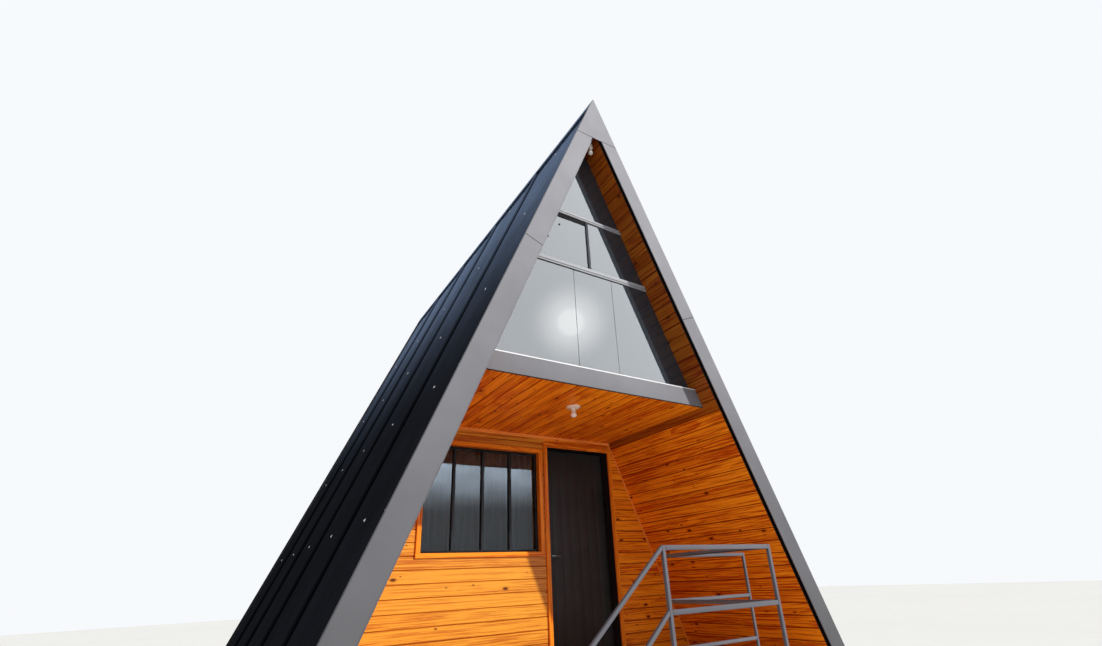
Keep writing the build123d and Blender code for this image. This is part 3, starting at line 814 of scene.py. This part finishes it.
def easeNode(node):
    name, material, slot, radius = eased[node]
    bm = bmesh.new()
    bm.from_mesh(cadNodes[node].data)
    bmesh.ops.remove_doubles(bm, verts=bm.verts, dist=easing["weld"])
    bmesh.ops.dissolve_limit(bm, angle_limit=math.radians(easing["flat"]), verts=bm.verts, edges=bm.edges)
    least = math.radians(easing["sharp"])
    sharp = [edge for edge in bm.edges if len(edge.link_faces) == 2 and edge.calc_face_angle(0) > least]
    bmesh.ops.bevel(bm, geom=sharp, offset=radius, segments=easing["segments"], profile=0.5, affect="EDGES",
                    clamp_overlap=True)
    makePiece(name, bm, material, [node], cadNodes[node]["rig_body"], easing["smooth"])


for easedNode in eased:
    easeNode(easedNode)
print("edges eased")


# turned lamps: a base, a neck and a bulb
lampProfile = {
    "porch_lamp": {
        "steps": 48,
        "base": [(0.0, 0), (0.067, 0), (0.0665, -0.006), (0.060, -0.012), (0.042, -0.019), (0.028, -0.022),
                 (0.021, -0.024), (0.0195, -0.050), (0.0, -0.050)],
        "bulb": [(0.0, -0.0505), (0.015, -0.0505), (0.022, -0.060), (0.029, -0.072), (0.030, -0.080),
                 (0.027, -0.090), (0.018, -0.099), (0.0, -0.102)],
    },
    "apex_lamp": {
        "steps": 32,
        "base": [(0.0, 0), (0.026, 0), (0.026, -0.040), (0.020, -0.046), (0.0185, -0.073), (0.0, -0.073)],
        "bulb": [(0.0, -0.0735), (0.014, -0.0735), (0.022, -0.085), (0.026, -0.098), (0.023, -0.112),
                 (0.013, -0.123), (0.0, -0.125)],
    },
}


def turned(name, profile, top, steps, material, replaced):
    bm = bmesh.new()
    verts = [bm.verts.new(top + Vector((r, 0, z))) for r, z in profile]
    edges = [bm.edges.new(pair) for pair in zip(verts, verts[1:])]
    bmesh.ops.spin(bm, geom=verts + edges, cent=top, axis=zAxis, angle=math.tau, steps=steps)
    bmesh.ops.remove_doubles(bm, verts=bm.verts, dist=1e-6)
    makePiece(name, bm, material, replaced, smoothAngle=40)


def makeLamp(node, name):
    low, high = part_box(node)
    top = Vector(((low.x + high.x) / 2, (low.y + high.y) / 2, high.z))
    look = lampProfile[node]
    turned(name + "Base", look["base"], top, look["steps"], "lampBase", [node])
    turned(name + "Bulb", look["bulb"], top, look["steps"], "lampBulb", [])


makeLamp("porch_lamp", "porchLamp")
makeLamp("apex_lamp", "apexLamp")
print("lamps turned")


# screws of the roof, two to a sheet in every row, through a washer into the purlin
roofScrew = {"places": (0.130, 0.640), "firstRow": 0.203, "rowStep": 1.006, "rows": 6, "sides": 8,
             "washer": 0.0125, "head": 0.0065, "washerHigh": 0.002, "headHigh": 0.0055}


def addScrew(bm, place, normal, sideways, look):
    other = normal.cross(sideways)
    washer, head = look["washer"], look["head"]
    rings = [(washer, 0), (washer, look["washerHigh"] * 0.5), (head, look["washerHigh"]),
             (head, look["headHigh"]), (0, look["headHigh"])]
    before = None
    for radius, height in rings:
        if radius == 0:
            bm.faces.new(before)
            break
        row = []
        for i in range(look["sides"]):
            angle = math.tau * i / look["sides"]
            spot = place + normal * height + (sideways * math.cos(angle) + other * math.sin(angle)) * radius
            row.append(bm.verts.new(spot))
        if before:
            for i in range(look["sides"]):
                j = (i + 1) % look["sides"]
                bm.faces.new((before[i], before[j], row[j], row[i]))
        else:
            bm.faces.new(row)
        before = row


def makeRoofScrews(side, name):
    down, inward = slopeAxes(side)
    bm = bmesh.new()
    sheets = round((rearY - frontY) / roofSheet["cover"])
    for row in range(roofScrew["rows"]):
        along = (roofScrew["firstRow"] + row * roofScrew["rowStep"]) * slant
        for i in range(sheets):
            for place in roofScrew["places"]:
                y = frontY + roofSheet["first"] + i * roofSheet["cover"] + place
                spot = Vector((0, y, apexZ)) + down * along + inward * roofSheet["pan"]
                addScrew(bm, spot, -inward, yAxis, roofScrew)
    makePiece(name, bm, "screw")


makeRoofScrews(1, "roofScrewsRight")
makeRoofScrews(-1, "roofScrewsLeft")
print("roof screws driven")


# bars of the gable: two across, each with a groove along its face, and an upright between them
bars = {"lowHigh": 0.052, "topHigh": 0.042, "grooveLow": 0.012, "grooveHigh": 0.021,
        "grooveDeep": 0.012, "uprightAt": -0.028, "uprightHalf": 0.014, "cut": 0.003}


def makeGableBars(node, name, facing):
    rng = random.Random(51)
    low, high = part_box(node)
    bm = bmesh.new()
    layers = layersOf(bm)
    face, back = (low.y, high.y) if facing < 0 else (high.y, low.y)
    inner = face - facing * bars["grooveDeep"]
    levels = [(low.z, low.z + bars["lowHigh"]), (high.z - bars["topHigh"], high.z)]
    for z0, z1 in levels:
        g0, g1 = z0 + bars["grooveLow"], z0 + bars["grooveHigh"]
        section = [(z0, back), (z0, face), (g0, face), (g0, inner), (g1, inner), (g1, face), (z1, face),
                   (z1, back)]
        sweepBoard(bm, layers, section, (sceneOrigin, xAxis, zAxis, yAxis), leftSlope, rightSlope, rng)
    x, half = bars["uprightAt"], bars["uprightHalf"]
    section = boardSection(x - half, x + half, back, face, bars["cut"])
    axes = (sceneOrigin, zAxis, xAxis, yAxis)
    sweepBoard(bm, layers, section, axes, levels[0][1], levels[1][0], rng, finish=1)
    makePiece(name, bm, "bar", [node], others=["mullion"])


makeGableBars("front_gable_bars", "frontGableBars", -1)
makeGableBars("rear_gable_bars", "rearGableBars", 1)
print("gable bars made")


# thin parts of both gables: a bead along the beam and a dark line under it, a painted shadow; seams of the
# fascia;
# a dark slot over the left middle pane, painted shade where the loft shows through; and two screws
gableParts = {
    "bead": 0.009, "beadDeep": 0.008, "line": 0.006, "lineBack": 0.003,
    "seam": 0.005, "proud": 0.0008, "fascia": 0.167, "sideSeams": {-1: 2.043, 1: 2.371}, "plateSeam": 0.572,
    "slotHigh": 0.050, "slotRight": -0.042, "slotBack": 0.001, "slotFace": 0.004,
    "screws": ((-0.345, 1.585), (-0.480, 1.765)), "screwHead": 0.009, "screwHigh": 0.006, "screwSides": 10,
}


def stripSection(a0, a1, back, face):
    return [(a0, back), (a1, back), (a1, face), (a0, face)]


def makeGableParts(end, facing):
    look = gableParts
    rng = random.Random(53)
    bm = bmesh.new()
    layers = layersOf(bm)
    dark = {"capFinish": 1, "finish": 1}
    out = yAxis * facing

    def outerY(node):
        low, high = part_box(node)
        return low.y if facing < 0 else high.y

    low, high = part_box(end + "_beam")
    axes = (Vector((0, outerY(end + "_beam"), 0)), xAxis, zAxis, -out)
    section = stripSection(high.z, high.z + look["bead"], 0, look["beadDeep"])
    sweepBoard(bm, layers, section, axes, leftSlope, rightSlope, rng)
    # painted shadow: a dark line under the beam
    section = stripSection(low.z - look["line"], low.z, look["lineBack"], look["beadDeep"])
    sweepBoard(bm, layers, section, axes, leftSlope, rightSlope, rng, **dark)

    face = outerY("apex_plate_" + end)
    half = look["seam"] / 2
    for side, drop in look["sideSeams"].items():
        down, inward = slopeAxes(side)
        section = stripSection(drop * slant - half, drop * slant + half, 0, look["proud"])
        axes = (Vector((0, face, apexZ)), inward, down, out)
        sweepBoard(bm, layers, section, axes, 0.0, look["fascia"], rng, **dark)
    level = apexZ - look["plateSeam"]
    section = stripSection(level - half, level + half, 0, look["proud"])
    for side in (-1, 1):
        axes = (Vector((0, face, 0)), xAxis * side, zAxis, out)
        sweepBoard(bm, layers, section, axes, lambda z: slopeX(z, look["fascia"]), lambda z: slopeX(z, 0),
                   rng, **dark)

    # painted shade: a dark strip over the slot above the left middle pane
    paneFace = outerY(end + "_gable_glass")
    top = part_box(end + "_gable_bars")[1].z - bars["topHigh"]
    section = stripSection(top - look["slotHigh"], top, look["slotBack"], look["slotFace"])
    axes = (Vector((0, paneFace, 0)), xAxis, zAxis, out)
    sweepBoard(bm, layers, section, axes, leftSlope, look["slotRight"], rng, **dark)
    turns = [math.tau * i / look["screwSides"] for i in range(look["screwSides"])]
    ring = [(look["screwHead"] * math.cos(turn), look["screwHead"] * math.sin(turn)) for turn in turns]
    for x, drop in look["screws"]:
        axes = (Vector((x, paneFace, apexZ - drop)), out, xAxis, zAxis)
        sweepBoard(bm, layers, ring, axes, 0.0, look["screwHigh"], rng, **dark)
    makePiece(end + "GableParts", bm, "bead", others=["sealAndShade"])


makeGableParts("front", -1)
makeGableParts("rear", 1)
print("seams and beads laid")


# curtain, gathered on its rod
curtain = {"folds": 17, "deep": 0.015, "topDeep": 0.65, "least": 0.6, "drift": 0.25, "steps": 12, "rows": 40}


def makeCurtain():
    rng = random.Random(61)
    low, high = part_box("window_curtain")
    width, drop = high.x - low.x, high.z - low.z
    hung = (low.y + high.y) / 2
    bm = bmesh.new()
    layer = bm.verts.layers.float_vector.new("grainAt")
    folds = curtain["folds"]
    columns = folds * curtain["steps"]
    strength = [rng.uniform(curtain["least"], 1.0) for _ in range(folds + 1)]
    drift = [rng.uniform(-curtain["drift"], curtain["drift"]) for _ in range(folds + 1)]
    rows = []
    for k in range(curtain["rows"] + 1):
        t = k / curtain["rows"]
        fuller = curtain["topDeep"] + (1 - curtain["topDeep"]) * t  # the folds open toward the hem
        row = []
        length = 0
        before = None
        for i in range(columns + 1):
            u = i / columns
            fold = min(int(u * folds), folds - 1)
            part = u * folds - fold
            soft = part * part * (3 - 2 * part)
            deep = strength[fold] * (1 - soft) + strength[fold + 1] * soft
            lean = drift[fold] * (1 - soft) + drift[fold + 1] * soft
            wave = math.sin(math.tau * (u * folds + lean * t))
            y = hung + curtain["deep"] * deep * fuller * wave
            place = Vector((low.x + u * width, y, high.z - t * drop))
            if before:
                length += (place - before).length
            before = place
            vert = bm.verts.new(place)
            vert[layer] = (length, t * drop, 0)
            row.append(vert)
        rows.append((row, length))
    for (upper, _), (lower, _) in zip(rows, rows[1:]):
        for i in range(columns):
            bm.faces.new((upper[i], upper[i + 1], lower[i + 1], lower[i]))
    piece = makePiece("windowCurtain", bm, "cloth", ["window_curtain"], smoothAngle=60)


makeCurtain()


# carried-over nodes and their finish
finishes = {
    "concrete": ["piers"],
    "timber": ["bearers", "floor_joists", "loft_joists", "landing_joists"],
    # the rafters and purlins are near black, painted shade in the gap behind the fascia
    "edge": ["rafters_left", "rafters_right", "purlins_left", "purlins_right"],
    "roof": ["roof_sheets_left", "roof_sheets_right", "ridge_cap"],
    "fascia": ["fascia_front_left", "fascia_front_right", "fascia_rear_left", "fascia_rear_right",
               "apex_plate_front", "apex_plate_rear"],
    "gableGlass": ["front_gable_glass", "rear_gable_glass"],
    "windowGlass": ["window_panes"],
    "windowFrame": ["curtain_rod"],
    "handle": ["hinge_pins", "hinge_knuckles"],
}


def finishNodes():
    finished = []
    for material, nodes in finishes.items():
        for node in nodes:
            mesh = cadNodes[node].data
            mesh.materials.clear()
            mesh.materials.append(materials[material])
            finished.append(node)
    shown = [name for name, piece in cadNodes.items() if not piece.hide_render]
    print("nodes finished,", len(finished), "and left over:", sorted(set(shown) - set(finished)))


finishNodes()


# floor, backdrop and light
studio = {
    "floor": 90.0,
    "floorColour": (0.80, 0.80, 0.79),
    "sunFrom": (0.509, -0.726, 0.462),
    "sunStrength": 4.2,
    "sunAngle": 0.8,
    "sunColour": (1.0, 0.96, 0.90),
    "sky": (0.95, 0.98, 1.0),
    "skyStrength": 0.56,
    "backdrop": (0.93, 0.95, 0.98),
    "fade": (0.05, 0.6),  # share of the low card's height where it fades in
    "clouds": (1.6, 0.2),  # gain and least of its clouds
    "core": (0.12, 0.165, 1.3),  # of the glow: inner and outer radius as a share of the card, and brightness
    "halo": (0.085, 0.47, 3.3),
    "boxes": {
        "softbox": {"at": (10.0, -15.2, 13.6), "to": (0.0, -2.12, 4.0), "size": (12.0, 10.5),
                    "radiance": 4.75, "colour": (0.94, 0.97, 1.0)},
        "lowCard": {"at": (7.6, -18.6, 6.3), "to": (-0.4, -0.6, 2.3), "size": (9.0, 4.0), "radiance": 8.0,
                    "colour": (0.68, 0.83, 1.0), "shape": "fade"},
        "glow": {"at": (5.82, -10.88, 9.04), "to": (-0.28, -2.12, 3.56), "size": (3.0, 3.0), "radiance": 1.0,
                 "colour": (1.0, 0.98, 0.95), "shape": "round"},
    },
}


def fadeLight(data):  # a card that is bright above, fades to nothing below and has soft clouds
    data.use_nodes = True
    tree = data.node_tree
    place = addNode(tree, "ShaderNodeNewGeometry").outputs["Parametric"]
    rise = ranged(tree, split(tree, place)[1], *studio["fade"])
    clouds = timesPlus(tree, noise(tree, place, 5, 4), *studio["clouds"])
    setInputs(tree.nodes["Emission"], {"Strength": times(tree, rise, clouds)})


def glowLight(data):  # a round glare, bright in the middle, with a wide soft rim
    data.use_nodes = True
    tree = data.node_tree
    place = addNode(tree, "ShaderNodeNewGeometry").outputs["Parametric"]
    centre = {0: place, 1: (0.5, 0.5, 0)}
    away = addNode(tree, "ShaderNodeVectorMath", centre, operation="DISTANCE").outputs["Value"]
    core, halo = [ranged(tree, away, *studio[ring], 0) for ring in ("core", "halo")]
    setInputs(tree.nodes["Emission"], {"Strength": calc(tree, "ADD", core, halo)})


def linkObject(name, data):
    placed = bpy.data.objects.new(name, data)
    bpy.context.scene.collection.objects.link(placed)
    return placed


def turnTo(lamp, direction):  # the lamp shines against this direction
    lamp.rotation_mode = "QUATERNION"
    lamp.rotation_quaternion = Vector(direction).to_track_quat("Z", "Y")


def makeFloor():
    bm = bmesh.new()
    bmesh.ops.create_grid(bm, x_segments=1, y_segments=1, size=studio["floor"] / 2)
    mesh = bpy.data.meshes.new("studioFloor")
    bm.to_mesh(mesh)
    bm.free()
    mesh.materials.append(makePlain("studioFloor", studio["floorColour"], 0.7, 0.02, 3, 0.0))
    floor = linkObject("studioFloor", mesh)


def makeSun():
    data = bpy.data.lights.new("sun", "SUN")
    data.energy = studio["sunStrength"]
    data.angle = math.radians(studio["sunAngle"])
    data.color = studio["sunColour"]
    sun = linkObject("sun", data)
    turnTo(sun, studio["sunFrom"])
    sun.visible_glossy = False  # the glow card stands for its glare in the panes
    sun.visible_transmission = False


def makeBox(name, look):
    data = bpy.data.lights.new(name, "AREA")
    data.shape = "RECTANGLE"
    data.size, data.size_y = look["size"]
    data.energy = look["radiance"] * math.pi * data.size * data.size_y
    data.color = look["colour"]
    if look.get("shape") == "fade":
        fadeLight(data)
    elif look.get("shape") == "round":
        glowLight(data)
    box = linkObject(name, data)
    box.location = look["at"]
    turnTo(box, Vector(look["at"]) - Vector(look["to"]))
    box.visible_camera = False
    box.visible_diffuse = False  # only its reflection is wanted
    box.visible_transmission = False


def makeSky():
    world = bpy.data.worlds.new("studio")
    bpy.context.scene.world = world
    world.use_nodes = True
    tree = world.node_tree
    tree.nodes.clear()
    seen = addNode(tree, "ShaderNodeLightPath").outputs["Is Camera Ray"]
    skyInputs = {"Color": rgba(studio["sky"]), "Strength": studio["skyStrength"]}
    backdropInputs = {"Color": rgba(studio["backdrop"]), "Strength": 1.0}
    sky = addNode(tree, "ShaderNodeBackground", skyInputs)
    backdrop = addNode(tree, "ShaderNodeBackground", backdropInputs)
    blend = addNode(tree, "ShaderNodeMixShader", {0: seen, 1: sky.outputs[0], 2: backdrop.outputs[0]})
    addNode(tree, "ShaderNodeOutputWorld", {"Surface": blend.outputs[0]})


makeFloor()
makeSun()
for boxName, boxLook in studio["boxes"].items():
    makeBox(boxName, boxLook)
makeSky()
bpy.context.scene.view_settings.view_transform = "Standard"
print("studio lit")
